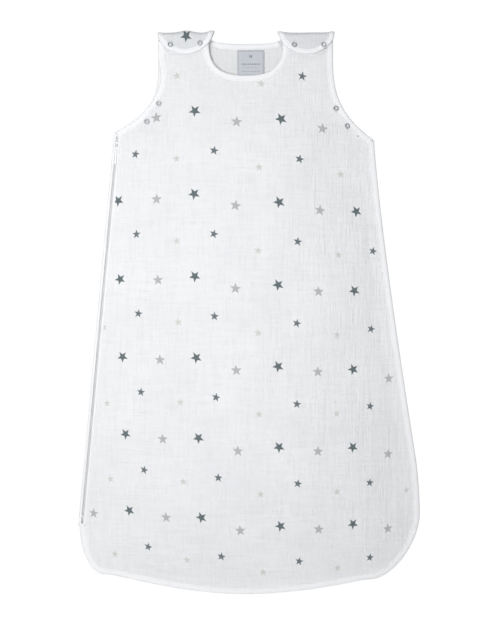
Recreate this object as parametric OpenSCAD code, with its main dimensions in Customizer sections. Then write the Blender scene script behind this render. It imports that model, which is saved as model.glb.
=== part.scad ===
// Baby sleeping bag hung over a rail by its two shoulder straps.
// X to the viewer's right, Y away from the viewer, Z up, origin on the rail's axis
// midway between the straps. Four layers of cloth in front and behind, bound edges,
// ring snaps at the shoulders and under the arms, and a concealed zip down one side.

/* [Body] */
// Depth of the hem's lowest point below the rail's axis
hem_drop = 885; // [840:5:930]
// Cloth edge of the left side at the underarm
underarm_left = 209; // [200:1:215]
// Cloth edge of the right side at the underarm
underarm_right = 203; // [195:1:210]
// Spread of the left side from the underarm down to its widest point
flare_left = 55.5; // [40:0.5:60]
// Spread of the right side from the underarm down to its widest point
flare_right = 72; // [55:0.5:75]
// How far each panel bellies out in the middle
belly = 13; // [6:1:16]

/* [Straps and openings] */
// Outer edge of the straps from the middle
strap_outer = 139; // [134:0.5:142]
// Width of each strap at the rail
strap_w = 84; // [76:0.5:88]
// Half width of the front neckline
neck_half = 60; // [54:0.5:64]
// Depth of the front neckline below the rail's axis
neck_drop = 61; // [50:1:70]
// Depth of the back neckline below the rail's axis
back_neck_drop = 10; // [6:0.5:14]
// Depth of the left armhole below the rail's axis
armhole_left = 152; // [146:1:156]
// Depth of the right armhole below the rail's axis
armhole_right = 164; // [158:1:168]

/* [Cloth] */
// Thickness of the outer cloth and of the lining
cloth_t = 0.8; // [0.6:0.1:0.9]
// Thickness of the two middle layers together
middle_t = 1.0; // [0.8:0.1:1.1]
// Width of the binding tape on each face
tape_w = 9; // [7:0.5:10]
// Thickness of the binding tape
tape_t = 0.8; // [0.5:0.1:0.8]

/* [Shoulder tabs] */
// Radius of the rail that the straps fold over
rail_r = 5.2; // [5:0.1:5.5]
// Length of each tab below the rail's axis
tab_drop = 26; // [24:0.5:28]
// Radius of a ring snap
snap_r = 4.1; // [3.5:0.1:4.3]

/* [Zip] */
// Length of the zip
zip_len = 600; // [500:10:600]
// Half width of the groove between the two zip bands
groove = 1.7; // [1.7:0.1:2]
// Width of each zip band
band_w = 4; // [4:0.5:6]

/* [Hidden] */
$fn = 48;
eps = 0.01;

white = [0.95, 0.96, 0.97];
inner_white = [0.9, 0.91, 0.92];
tape_white = [0.97, 0.97, 0.98];
metal = [0.75, 0.77, 0.8];

wad = 2 * cloth_t + middle_t;     // one panel's whole thickness
front_in = -0.6;                  // inner face of the front panel at its edges
back_in = 1.6;                    // inner face of the back panel at its edges
side_end = 760;                   // depth where the sides stop spreading
armhole_top = 30;                 // depth where the armhole curve starts
corner_left = [-236, -848];       // where the left corner runs into the hem
corner_right = [226, -847];       // where the right corner runs into the hem
knee_slack = 0.25;                // the back tapes' outer slack, where the back panel bends
tape_gap = 0.05;                  // slack between a tape and the cloth it wraps
hem_slack = 0.28;                 // slack between the side and hem tape's fold and the cloth's edge
hem_ease = 0.06;                  // rounding where the hem runs into its corners
knee_rows = 9;                    // grid rows from the neck's depth to the left armhole's
knee = 129.2;                     // depth where the back panel starts to come forward
front_top = -5.4;                 // top edge of the front straps, just under the rail
margin = 24;                      // flat margin round each panel, under the binding tapes
cols = 6;                         // grid columns in half a panel
neck_rows = 8;                    // grid rows beside the neckline
strap_inner = strap_outer - strap_w;
tab_mid = strap_outer - strap_w / 2;
tab_face = -rail_r - wad;         // outer face of a shoulder tab
rail_top_clear = 3.4;             // the tab's inner tape starts this far below the rail's axis
zip_slope = flare_left / (side_end - armhole_left);
zip_tilt = atan(zip_slope);
zip_mid = band_w + 1;             // zip's centre line inside the cloth edge
zip_top = 166;                    // depth of the zip's upper end
front_edge = 3.3;                 // front panel's edge from the zip's centre line
teeth_face = -2.15;               // front of the zip teeth
slider_l = 9;                     // length of the slider
slider_at = 9;                    // slider's top below the zip's upper end
pin_y = -4.5;                     // axis of the pull's pin
pin_r = 0.45;

// ---- outline, as x for a height z ----
function clamp01(v) = max(0, min(1, v));
function ease(v) = 1 - pow(1 - clamp01(v), 2);
function mix(a, b, t) = a + (b - a) * t;

function left_edge(z) =
    -z < armhole_left
    ? -strap_outer - (underarm_left - strap_outer)
        * pow(clamp01((-z - armhole_top) / (armhole_left - armhole_top)), 3.5)
    : -underarm_left - flare_left * clamp01((-z - armhole_left) / (side_end - armhole_left));
function right_edge(z) =
    -z < armhole_right
    ? strap_outer - 1.5 + (underarm_right - strap_outer + 1.5)
        * pow(clamp01((-z - armhole_top) / (armhole_right - armhole_top)), 2.9)
    : underarm_right + flare_right * pow(clamp01((-z - armhole_right) / (side_end - armhole_right)), 1.05);

// The front panel stops short of the side along the zip.
function zip_inset(z) = (zip_mid + front_edge) / cos(zip_tilt)
    * clamp01((-z - armhole_left) / 12) * clamp01((z + 795) / 15);

// Lower corners: superellipse quarters, v from 0 where the side ends to 1 at the hem.
function turn(v, p) = 1 - pow(1 - pow(v, p), 1 / p);
function corner_l(v) = [
    mix(left_edge(-side_end), corner_left[0], turn(v, 3)), mix(-side_end, corner_left[1], v)];
function corner_r(v) = [
    mix(right_edge(-side_end), corner_right[0], turn(v, 1.7)), mix(-side_end, corner_right[1], v)];
hem_half = (corner_right[0] - corner_left[0]) / 2;
hem_sag = hem_drop + (corner_left[1] + corner_right[1]) / 2;
// Sag of the hem at u, from -1 at its left end to 1 at its right end
function eased(s) = sqrt(s * s + hem_ease * hem_ease) - hem_ease;
function sag(u) = hem_sag * (1 - pow(1 - eased(1 - min(1, abs(u))) / eased(1), 1.8));
function hem_z(x) = let (u = (x - corner_left[0]) / hem_half - 1)
    mix(corner_left[1], corner_right[1], (u + 1) / 2) - sag(u);

// ---- faces of the panels ----
// 0 at the edges and 1 in the middle of the bag
function bulge(x, z) =
    ease((min(x - left_edge(z) - zip_inset(z), right_edge(z) - x) - margin) / 150)
    * ease((-z - 80) / 260) * ease((z - hem_z(x) - 18) / 190);
// The back straps stand behind the rail, and the panel comes forward beside the underarm snaps.
function back_base(z) = mix(rail_r, back_in,
    clamp01((-z - knee) / (armhole_right - knee)));
function front_face(x, z) = front_in - belly * bulge(x, z);
function back_face(x, z) = back_base(z) + belly * bulge(x, z);

// ---- grid of a panel: each row holds its left half's points, then its right half's ----
function neck_point(a, half, top, drop) = [
    half * pow(cos(a), 0.74), -top - (drop - top) * pow(sin(a), 0.74)];
body_rows = concat([for (i = [1:knee_rows - 3]) -mix(neck_drop, knee, i / (knee_rows - 3))],
    [for (i = [1:3]) -mix(knee, armhole_left, i / 3)],
    [-(armhole_left + armhole_right) / 2, -armhole_right],
    [for (i = [1:11]) -mix(armhole_right, side_end, i / 11)]);
corner_rows = [0.2, 0.4, 0.6, 0.78, 0.88, 1];

function spread(a, b) = concat([a], [for (j = [0:cols - 2])
    mix(a + margin, b - margin, j / (cols - 2))], [b]);
function row(z, l, inner_l, inner_r, r) = concat(
    [for (x = spread(l, inner_l)) [x, z]], [for (x = spread(inner_r, r)) [x, z]]);
function corner_row(t, inset) = let (l = corner_l(t), r = corner_r(t))
    [for (q = row(0, l[0] + inset, 0, 0, r[0]))
        let (s = (q[0] - l[0]) / (r[0] - l[0])) [q[0], mix(l[1], r[1], s) - t * sag(2 * s - 1)]];
function panel_grid(half, top, drop, front) = concat(
    [for (i = [0:neck_rows - 1]) let (n = neck_point(90 * i / neck_rows, half, top, drop))
        row(n[1], left_edge(n[1]), -n[0], n[0], right_edge(n[1]))],
    [row(-drop, left_edge(-drop), 0, 0, right_edge(-drop))],
    front ? [] : [for (d = [25, 43, neck_drop]) row(-d, left_edge(-d), 0, 0, right_edge(-d))],
    [for (z = body_rows) row(z, left_edge(z) + (front ? zip_inset(z) : 0), 0, 0, right_edge(z))],
    [for (t = corner_rows) corner_row(t, front ? zip_inset(corner_l(t)[1]) : 0)]);
front_grid = panel_grid(neck_half, -front_top, neck_drop, true);
back_grid = panel_grid(strap_inner, 0, back_neck_drop, false);

// A sheet over a grid, from near(x, z) to far(x, z) in y; the neck is open above neck_rows.
module sheet(grid, near, far) {
    nr = len(grid);
    nc = len(grid[0]);
    cells = [for (j = [0:nc - 2]) if (j != cols) j];
    points = concat([for (r = grid) for (q = r) [q[0], near(q[0], q[1]), q[1]]],
        [for (r = grid) for (q = r) [q[0], far(q[0], q[1]), q[1]]]);
    p = function(i, j) i * nc + j;
    q = function(i, j) nr * nc + i * nc + j;
    quads = concat(
        [for (i = [0:nr - 2]) for (j = cells) [p(i, j), p(i, j + 1), p(i + 1, j + 1), p(i + 1, j)]],
        [for (i = [0:nr - 2]) for (j = cells) [q(i, j), q(i + 1, j), q(i + 1, j + 1), q(i, j + 1)]],
        [for (i = [0:nr - 2]) for (j = i < neck_rows ? [0, cols + 1] : [0])
            [q(i, j), p(i, j), p(i + 1, j), q(i + 1, j)]],
        [for (i = [0:nr - 2]) for (j = i < neck_rows ? [cols, nc - 1] : [nc - 1])
            [p(i, j), q(i, j), q(i + 1, j), p(i + 1, j)]],
        [for (j = cells) [q(0, j), q(0, j + 1), p(0, j + 1), p(0, j)]],
        [for (j = cells) [p(nr - 1, j), p(nr - 1, j + 1), q(nr - 1, j + 1), q(nr - 1, j)]]);
    polyhedron(points, [for (f = quads) for (k = [[0, 1, 2], [0, 2, 3]]) [for (i = k) f[i]]]);
}

module front_layer(a, b) {
    sheet(front_grid, function(x, z) front_face(x, z) - b, function(x, z) front_face(x, z) - a);
}
module back_layer(a, b) {
    sheet(back_grid, function(x, z) back_face(x, z) + a, function(x, z) back_face(x, z) + b);
}
module front_lining() { color(inner_white) front_layer(0, cloth_t); }
module front_middle() { color(inner_white) front_layer(cloth_t, cloth_t + middle_t); }
module front_outer() { color(white) front_layer(cloth_t + middle_t, wad); }
module back_lining() { color(inner_white) back_layer(0, cloth_t); }
module back_middle() { color(inner_white) back_layer(cloth_t, cloth_t + middle_t); }
module back_outer() { color(white) back_layer(cloth_t + middle_t, wad); }

// ---- bindings: a folded tape that wraps a cloth edge ----
// The path runs with the cloth on its left; near and far are the cloth's two faces.
module binding(path, near, far, slack = tape_gap) {
    n = len(path);
    heading = function(i) let (d = path[min(i + 1, n - 1)] - path[max(i - 1, 0)]) d / norm(d);
    rise = tape_gap + tape_t;
    end = -slack - tape_t;
    section = [[tape_w, 0, -rise], [end, 0, -rise], [end, 1, rise], [tape_w, 1, rise],
        [tape_w, 1, tape_gap], [-slack, 1, tape_gap], [-slack, 0, -tape_gap], [tape_w, 0, -tape_gap]];
    points = [for (i = [0:n - 1]) let (h = heading(i)) for (s = section)
        let (c = path[i] + s[0] * [-h[1], h[0]], y = s[1] == 0 ? near(c[0], c[1]) : far(c[0], c[1]))
        [c[0], y + s[2], c[1]]];
    sides = [for (i = [0:n - 2]) for (k = [0:7]) let (a = i * 8 + k, b = i * 8 + (k + 1) % 8)
        for (f = [[b, a, a + 8], [b, a + 8, b + 8]]) f];
    caps = [for (f = [[0, 1, 6, 7], [1, 2, 5, 6], [2, 3, 4, 5]]) for (k = [[0, 1, 2], [0, 2, 3]])
        [for (i = k) f[i]]];
    polyhedron(points, concat(sides, caps, [for (f = caps) [for (i = [2:-1:0]) (n - 1) * 8 + f[i]]]));
}
module front_binding(path) {
    color(tape_white) binding(path, function(x, z) front_in - wad, function(x, z) front_in);
}
module back_binding(path) {
    color(tape_white) binding(path,
        function(x, z) back_base(z), function(x, z) back_base(z) + wad + knee_slack);
}
// Edge points of a panel's grid, below the rail and above an armhole's end
function edge(grid, col, depth) =
    [for (r = grid) if (r[col][1] < -2 && r[col][1] > -depth) r[col]];
function left_armhole(grid) = edge(grid, 0, armhole_left - 1);
function right_armhole(grid) = let (e = edge(grid, len(grid[0]) - 1, armhole_right - 1))
    [for (i = [len(e) - 1:-1:0]) e[i]];
function neckline(half, top, drop) = let (first = top > 0 ? 0 : 2) concat(
    [for (i = [first:neck_rows]) neck_point(90 * i / neck_rows, half, top, drop)],
    [for (i = [neck_rows - 1:-1:first])
        let (n = neck_point(90 * i / neck_rows, half, top, drop)) [-n[0], n[1]]]);

module front_neck_binding() { front_binding(neckline(neck_half, -front_top, neck_drop)); }
module back_neck_binding() { back_binding(neckline(strap_inner, 0, back_neck_drop)); }
module front_left_armhole_binding() { front_binding(left_armhole(front_grid)); }
module front_right_armhole_binding() { front_binding(right_armhole(front_grid)); }
module back_left_armhole_binding() { back_binding(left_armhole(back_grid)); }
module back_right_armhole_binding() { back_binding(right_armhole(back_grid)); }

// Side and hem: down the left below the zip, along the hem and up the right side.
hem_start = 12;
corner_steps = 15;
hem_path = concat(
    [for (i = [0:corner_steps]) corner_l(sin(mix(hem_start, 90, i / corner_steps)))],
    [for (i = [1:19]) let (x = mix(corner_left[0], corner_right[0], i / 20)) [x, hem_z(x)]],
    [for (i = [0:corner_steps]) corner_r(sin(90 - 90 * i / corner_steps))],
    [for (i = [1:9]) let (z = -mix(side_end, armhole_right + 11, i / 9)) [right_edge(z), z]]);
module side_hem_binding() {
    color(tape_white)
        binding(hem_path, function(x, z) front_in - wad, function(x, z) back_in + wad, hem_slack);
}
// Overlocked seam allowance between the two panels, under the binding.
module seam_allowance() {
    n = len(hem_path);
    inner = [for (i = [n - 1:-1:0])
        let (d = hem_path[min(i + 1, n - 1)] - hem_path[max(i - 1, 0)], h = d / norm(d))
        hem_path[i] + 0.7 * tape_w * [-h[1], h[0]]];
    color(inner_white) slab(front_in, back_in) polygon(concat(hem_path, inner));
}

// A flat shape drawn in x and z, filling y from near to far.
module slab(near, far) {
    translate([0, far, 0]) rotate([90, 0, 0]) linear_extrude(far - near) children();
}

// ---- shoulders ----
module shoulder_fold(side) {
    color(white) translate([side * tab_mid - strap_w / 2, 0, 0]) rotate([90, 0, 90])
        linear_extrude(strap_w) difference() {
            circle(r = rail_r + wad, $fn = 96);
            circle(r = rail_r, $fn = 96);
            translate([-20, -40]) square([40, 40]);
        }
}
module left_shoulder_fold() { shoulder_fold(-1); }
module right_shoulder_fold() { shoulder_fold(1); }

// Rounded outline of a tab, as wide as the fold at its top, grown by g.
module tab_shape(g) {
    w = strap_w / 2 + g;
    polygon([for (a = [0:7.5:180]) [w * cos(a), -(tab_drop + g) * pow(abs(sin(a)), 1.5)]]);
}
module tab_layer(side, near, far) {
    translate([side * tab_mid, 0, 0]) slab(near, far) tab_shape(-tape_t);
}
module tab_binding(side) {
    color(tape_white) translate([side * tab_mid, 0, 0]) {
        slab(tab_face - tape_t, tab_face) difference() { tab_shape(0); tab_shape(-7); }
        slab(-rail_r, -rail_r + tape_t) difference() {
            tab_shape(0);
            tab_shape(-7);
            translate([-strap_w, -rail_top_clear]) square([2 * strap_w, strap_w]);
        }
        slab(tab_face, -rail_r) difference() { tab_shape(0); tab_shape(-tape_t); }
    }
}
module left_tab_outer() { color(white) tab_layer(-1, tab_face, tab_face + cloth_t); }
module left_tab_middle() { color(inner_white) tab_layer(-1, tab_face + cloth_t, -rail_r - cloth_t); }
module left_tab_lining() { color(inner_white) tab_layer(-1, -rail_r - cloth_t, -rail_r); }
module left_tab_binding() { tab_binding(-1); }
module right_tab_outer() { color(white) tab_layer(1, tab_face, tab_face + cloth_t); }
module right_tab_middle() { color(inner_white) tab_layer(1, tab_face + cloth_t, -rail_r - cloth_t); }
module right_tab_lining() { color(inner_white) tab_layer(1, -rail_r - cloth_t, -rail_r); }
module right_tab_binding() { tab_binding(1); }

// ---- ring snaps: cap and socket on one side of the join, stud and its back on the other ----
left_snaps = [[-120.2, -12], [-73, -9.8]];
right_snaps = [[76.5, -12.4], [123.5, -12.2]];
underarm_snaps = [[-138.8, -105], [-157.7, -134], [143, -113], [161, -141]];

module at(places) { for (p = places) translate([p[0], 0, p[1]]) children(); }
module disc(r, near, far) { translate([0, far, 0]) rotate([90, 0, 0]) cylinder(r = r, h = far - near); }
module ring(r_out, r_in, near, far) {
    difference() { disc(r_out, near, far); disc(r_in, near - 1, far + 1); }
}
// Pronged ring with a rounded rim, standing on the cloth face at y = face.
module cap(face) { color(metal) translate([0, face, 0]) rotate([90, 0, 0]) rotate_extrude()
    translate([snap_r - 0.8, 0]) intersection() { circle(r = 0.8); translate([-0.8, 0]) square(1.6); } }
module socket(near, far) { color(metal) ring(snap_r - 0.2, 1.75, near, far); }
module stud(flange, near, far) {
    color(metal) { disc(1.55, near, flange + eps); disc(snap_r - 0.5, flange, far); }
}
module left_shoulder_caps() { at(left_snaps) cap(tab_face - tape_t); }
module right_shoulder_caps() { at(right_snaps) cap(tab_face - tape_t); }
module shoulder_sockets(places) { at(places) socket(-rail_r + tape_t, -rail_r + tape_t + 0.6); }
module left_shoulder_sockets() { shoulder_sockets(left_snaps); }
module right_shoulder_sockets() { shoulder_sockets(right_snaps); }
strap_face = front_in - wad;
module shoulder_studs() {
    at(concat(left_snaps, right_snaps))
        stud(strap_face - 0.5, -rail_r + tape_t + 0.1, strap_face);
}
module shoulder_stud_backs() {
    at(concat(left_snaps, right_snaps)) color(metal) ring(snap_r - 0.5, 1.8, front_in, front_in + 0.6);
}
// The underarm snaps are set through the bindings' edges, clear of the back panel's slope.
tape_out = tape_gap + tape_t;
snap_clear = 0.45;
module underarm_caps() { at(underarm_snaps) cap(strap_face - tape_out); }
module underarm_sockets() { at(underarm_snaps) socket(front_in + tape_out, front_in + tape_out + 0.8); }
module underarm_studs() {
    for (p = underarm_snaps) let (y = back_base(p[1]) - tape_out - snap_clear)
        at([p]) stud(y - 0.6, front_in + tape_out + 0.1, y);
}
module underarm_stud_backs() {
    for (p = underarm_snaps) let (y = back_base(p[1]) + wad + tape_out + 2 * snap_clear)
        at([p]) color(metal) ring(snap_r - 0.5, 1.8, y, y + 0.6);
}

// ---- zip: drawn along -Z from its upper end, x across it, in a frame tilted with the side ----
module in_zip() {
    translate([left_edge(-zip_top) + zip_mid / cos(zip_tilt), 0, -zip_top])
        rotate([0, zip_tilt, 0]) children();
}
// Straight piece from x1 to x2 and y1 to y2, between depths z1 and z2 along the zip.
module strip(x1, x2, y1, y2, z1 = 0, z2 = zip_len) {
    translate([x1, y1, -z2]) cube([x2 - x1, y2 - y1, z2 - z1]);
}
module zip_band_front() {
    color(tape_white) in_zip() strip(groove, groove + band_w, strap_face - tape_t, strap_face);
}
module zip_band_back() {
    color(tape_white) in_zip() {
        strip(-zip_mid - tape_t, -groove, strap_face - tape_t, strap_face);
        strip(-zip_mid - tape_t, -zip_mid, strap_face - eps, back_in + wad + tape_t);
        strip(-zip_mid - tape_t, tape_w - zip_mid, back_in + wad, back_in + wad + tape_t);
    }
}
module zip_facing() {
    color(inner_white) in_zip() {
        strip(-zip_mid, -front_edge, strap_face, front_in);
        strip(-zip_mid, -front_edge - 0.5, front_in + 0.5, back_in);
    }
}
module zip_tapes() {
    color(inner_white) in_zip() {
        strip(-zip_mid, -0.5, front_in, front_in + 0.5);
        strip(0.5, 12, front_in, front_in + 0.5);
    }
}
module zip_teeth() {
    color(tape_white) in_zip() {
        strip(-2.3, -0.5, teeth_face, front_in, 3, zip_len - 3);
        strip(0.5, 2.3, teeth_face, front_in, 3, zip_len - 3);
    }
}
module zip_stop(depth) {
    color(metal) in_zip() strip(-2.5, 2.5, teeth_face - 0.3, front_in, depth, depth + 3);
}
module zip_top_stop() { zip_stop(0); }
module zip_bottom_stop() { zip_stop(zip_len - 3); }
pin_depth = slider_at + slider_l / 2;
module zip_slider() {
    top = slider_at;
    low = slider_at + slider_l;
    color(metal) in_zip() {
        strip(-2.9, 2.9, teeth_face - 0.8, teeth_face - 0.2, top, low);
        strip(-2.9, 2.9, front_in + 0.8, front_in + 1.5, top, low);
        strip(-0.3, 0.3, teeth_face - 0.3, front_in + 0.9, top, top + 2);
        for (s = [-1, 1]) {
            strip(min(s * 2.55, s * 2.9), max(s * 2.55, s * 2.9), teeth_face - 0.3, -1.2, top, low);
            strip(min(s * 0.95, s * 1.45), max(s * 0.95, s * 1.45), pin_y - 0.8, teeth_face - 0.7,
                pin_depth - 1, pin_depth + 1);
        }
        translate([-1.2, pin_y, -pin_depth]) rotate([0, 90, 0]) cylinder(r = pin_r, h = 2.4);
    }
}
module zip_pull() {
    color(metal) in_zip() difference() {
        union() {
            translate([-0.8, pin_y, -pin_depth]) rotate([0, 90, 0]) cylinder(r = 1.1, h = 1.6);
            strip(-0.8, 0.8, pin_y - 0.45, pin_y + 0.45, pin_depth, pin_depth + 3);
            strip(-1.4, 1.4, pin_y - 0.45, pin_y + 0.45, pin_depth + 2, pin_depth + 22);
        }
        translate([-2, pin_y, -pin_depth]) rotate([0, 90, 0]) cylinder(r = pin_r + 0.06, h = 4);
    }
}

// Blank woven label under the back neckline.
module neck_label() {
    color([0.83, 0.84, 0.86])
        translate([-14, rail_r - tape_t, -back_neck_drop - tape_w - 42]) cube([43, 0.35, 42]);
}

front_outer();
front_middle();
front_lining();
back_outer();
back_middle();
back_lining();
front_neck_binding();
back_neck_binding();
front_left_armhole_binding();
front_right_armhole_binding();
back_left_armhole_binding();
back_right_armhole_binding();
side_hem_binding();
seam_allowance();
left_shoulder_fold();
right_shoulder_fold();
left_tab_outer();
left_tab_middle();
left_tab_lining();
left_tab_binding();
right_tab_outer();
right_tab_middle();
right_tab_lining();
right_tab_binding();
left_shoulder_caps();
left_shoulder_sockets();
right_shoulder_caps();
right_shoulder_sockets();
shoulder_studs();
shoulder_stud_backs();
underarm_caps();
underarm_sockets();
underarm_studs();
underarm_stud_backs();
zip_band_front();
zip_band_back();
zip_facing();
zip_tapes();
zip_teeth();
zip_top_stop();
zip_bottom_stop();
zip_slider();
zip_pull();
neck_label();
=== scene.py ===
import math

import bmesh
import bpy
import numpy as np
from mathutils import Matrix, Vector


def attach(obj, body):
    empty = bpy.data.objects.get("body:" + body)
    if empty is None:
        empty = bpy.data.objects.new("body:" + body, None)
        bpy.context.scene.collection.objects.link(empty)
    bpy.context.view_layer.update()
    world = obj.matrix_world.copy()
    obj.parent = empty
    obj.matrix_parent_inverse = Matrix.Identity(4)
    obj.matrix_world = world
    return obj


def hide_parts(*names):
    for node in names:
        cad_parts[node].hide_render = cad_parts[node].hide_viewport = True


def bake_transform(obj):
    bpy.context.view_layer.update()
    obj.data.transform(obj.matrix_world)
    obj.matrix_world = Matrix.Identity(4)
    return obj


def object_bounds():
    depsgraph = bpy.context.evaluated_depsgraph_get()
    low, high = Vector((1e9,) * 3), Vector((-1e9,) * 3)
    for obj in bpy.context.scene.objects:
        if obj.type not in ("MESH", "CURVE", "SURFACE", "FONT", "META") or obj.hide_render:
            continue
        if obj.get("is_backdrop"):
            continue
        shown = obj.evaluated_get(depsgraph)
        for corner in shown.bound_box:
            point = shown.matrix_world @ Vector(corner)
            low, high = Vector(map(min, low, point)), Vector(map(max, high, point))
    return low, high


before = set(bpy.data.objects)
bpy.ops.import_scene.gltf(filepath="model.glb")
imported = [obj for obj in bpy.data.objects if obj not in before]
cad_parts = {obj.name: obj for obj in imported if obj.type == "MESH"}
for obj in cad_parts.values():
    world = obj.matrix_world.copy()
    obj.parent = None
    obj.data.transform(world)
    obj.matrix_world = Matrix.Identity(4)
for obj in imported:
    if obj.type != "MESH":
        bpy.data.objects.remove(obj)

# Baby sleeping bag on a rail. Lengths in this script are in millimetres until make() turns them
# into the frame's metres. X goes to the viewer's right, Y away from the viewer and Z up, and the
# origin is on the rail's axis midway between the straps.

CAD_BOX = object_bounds()
MM = 0.001

# ---- the bag's own dimensions. They are the CAD model's, except that the lower corners and the
# ---- right side are drawn up to 10 mm fuller or rounder, which is nearer to the real outline ----
HEM_DROP = 885
UNDERARM_LEFT, UNDERARM_RIGHT = 209, 203
FLARE_LEFT, FLARE_RIGHT = 55.5, 72
BELLY = 13
STRAP_OUTER, STRAP_INNER = 139, 55
TAB_MID = (STRAP_OUTER + STRAP_INNER) / 2
NECK_HALF, NECK_TOP, NECK_DROP = 60, 5.4, 61
BACK_NECK_DROP = 10
ARMHOLE_TOP, ARMHOLE_LEFT, ARMHOLE_RIGHT = 30, 152, 164
SIDE_END = 760
CORNER_LEFT, CORNER_RIGHT = (-222, -853.5), (200, -861)
HEM_EASE = 0.06
CLOTH_T, MIDDLE_T = 0.8, 1.0
WAD = 2 * CLOTH_T + MIDDLE_T
TAPE_W, TAPE_T = 9, 0.9
RAIL_R, TAB_DROP = 5.2, 26
FRONT_IN, BACK_IN, KNEE = -0.6, 1.6, 129.2
STRAP_FACE = FRONT_IN - WAD
ZIP_TOP, ZIP_LEN, GROOVE, BAND_W, FRONT_EDGE = 166, 600, 1.7, 4, 3.3
ZIP_MID = BAND_W + 1
ZIP_TILT = math.atan(FLARE_LEFT / (SIDE_END - ARMHOLE_LEFT))
BAND_TAIL, ZIP_TAPE_TAIL = 13, 14
SHOULDER_SNAPS = {"left": [(-120.2, -12), (-73, -9.8)], "right": [(76.5, -12.4), (123.5, -12.2)]}
UNDERARM_SNAPS = [(-138.8, -105), (-157.7, -134), (143, -113), (161, -141)]
LABEL_X, LABEL_Z = (-14, 29), (-19, -61)

# ---- the print's lattice: one cell holds one star of each kind ----
CELL = 128.4


# =============================== outline and faces ===============================
def clamp01(v):
    return np.clip(v, 0.0, 1.0)


def ease(v):
    return 1 - (1 - clamp01(v)) ** 2


def smooth(v):
    v = clamp01(v)
    return v * v * (3 - 2 * v)


def mix(a, b, t):
    return a + (b - a) * t


def left_edge(z):
    d = -np.asarray(z, float)
    arm = clamp01((d - ARMHOLE_TOP) / (ARMHOLE_LEFT - ARMHOLE_TOP)) ** 3.5
    side = clamp01((d - ARMHOLE_LEFT) / (SIDE_END - ARMHOLE_LEFT))
    return -STRAP_OUTER - (UNDERARM_LEFT - STRAP_OUTER) * arm - FLARE_LEFT * side


def right_edge(z):
    """The right side spreads in a slight outward curve that straightens up at its lower end."""
    d = -np.asarray(z, float)
    arm = clamp01((d - ARMHOLE_TOP) / (ARMHOLE_RIGHT - ARMHOLE_TOP)) ** 2.9
    t = clamp01((d - ARMHOLE_RIGHT) / (SIDE_END - ARMHOLE_RIGHT))
    side = 1.125 * t**1.22 - 4.04 * np.maximum(0, t - 0.83) ** 2
    top = STRAP_OUTER - 1.5
    return top + (UNDERARM_RIGHT - top) * arm + FLARE_RIGHT * side


def zip_inset(z):
    """How far the front panel stops short of the left side, along the zip."""
    full = (ZIP_MID + FRONT_EDGE) / math.cos(ZIP_TILT)
    return full * clamp01((-z - ARMHOLE_LEFT) / 12) * clamp01((z + 795) / 15)


def tuck(z):
    """How far the front's left armhole edge rolls in, so that the back's edge shows beside it."""
    return 5 * np.sin(math.pi * clamp01((-np.asarray(z, float) - 20) / 95)) ** 2


def turn(v, p):
    return 1 - (1 - v**p) ** (1 / p)


def corner_left(v):
    return mix(left_edge(-SIDE_END), CORNER_LEFT[0], turn(v, 2.2)), mix(-SIDE_END, CORNER_LEFT[1], v)


def corner_right(v):
    return mix(right_edge(-SIDE_END), CORNER_RIGHT[0], turn(v, 1.65)), mix(-SIDE_END, CORNER_RIGHT[1], v)


def sag(u):
    eased = lambda s: np.sqrt(s * s + HEM_EASE**2) - HEM_EASE
    depth = HEM_DROP + (CORNER_LEFT[1] + CORNER_RIGHT[1]) / 2
    return depth * (1 - (1 - eased(1 - np.minimum(1, np.abs(u))) / eased(1)) ** 1.8)


def hem_z(x):
    u = (x - CORNER_LEFT[0]) / (CORNER_RIGHT[0] - CORNER_LEFT[0]) * 2 - 1
    return mix(CORNER_LEFT[1], CORNER_RIGHT[1], clamp01((u + 1) / 2)) - sag(u)


def side_gap(x, z):
    """Distance in from the nearer side of the front panel."""
    return np.minimum(x - left_edge(z) - zip_inset(z), right_edge(z) - x)


def bulge(x, z):
    return ease((side_gap(x, z) - 24) / 150) * ease((-z - 80) / 260) * ease((z - hem_z(x) - 18) / 190)


def back_base(z):
    return mix(RAIL_R, BACK_IN, clamp01((-z - KNEE) / (ARMHOLE_RIGHT - KNEE)))


def value_noise(x, z, cell_x, cell_z, seed):
    """Smooth noise from -1 to 1 on a grid of the given cell size."""
    table = np.random.default_rng(seed).uniform(-1, 1, (64, 64))
    gx, gz = x / cell_x + 31.7, z / cell_z + 517.3
    ix, iz = np.floor(gx).astype(int), np.floor(gz).astype(int)
    fx, fz = smooth(gx - ix), smooth(gz - iz)
    at = lambda i, j: table[i % 64, j % 64]
    low = mix(at(ix, iz), at(ix + 1, iz), fx)
    high = mix(at(ix, iz + 1), at(ix + 1, iz + 1), fx)
    return mix(low, high, fz)


def sway(x, z):
    """How far both panels drift back and forth together; none at the straps or along the zip."""
    hold = smooth((x - left_edge(z) - 30) / 90) * smooth((-z - 170) / 240)
    return 2.2 * value_noise(x, z, 120, 170, 5) * hold


def folds(x, z, seed):
    """Soft creases of one panel, fading out at its bound edges."""
    gap = np.minimum(side_gap(x, z) - 10, z - hem_z(x) - 10)
    rim = smooth(gap / 45)
    top = smooth((-z - 62) / 70)
    broad = 2.6 * value_noise(x, z, 120, 190, seed) + 1.1 * value_noise(x, z, 55, 95, seed + 1)
    pucker = 0.9 * value_noise(x, z, 80, 20, seed + 2) * np.exp(-np.maximum(gap, 0) / 55)
    ripple = 0.35 * value_noise(x, z, 34, 15, seed + 3) + 0.3 * value_noise(x, z, 14, 40, seed + 4)
    return (broad * rim + (pucker + ripple) * smooth(gap / 14)) * top


def front_face(x, z):
    """Inner face of the front panel."""
    return FRONT_IN - BELLY * bulge(x, z) - folds(x, z, 11) * ease(bulge(x, z) * 4 + 0.25) + sway(x, z)


def back_face(x, z):
    """Inner face of the back panel."""
    return back_base(z) + BELLY * bulge(x, z) + folds(x, z, 71) * ease(bulge(x, z) * 4 + 0.25) + sway(x, z)


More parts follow.
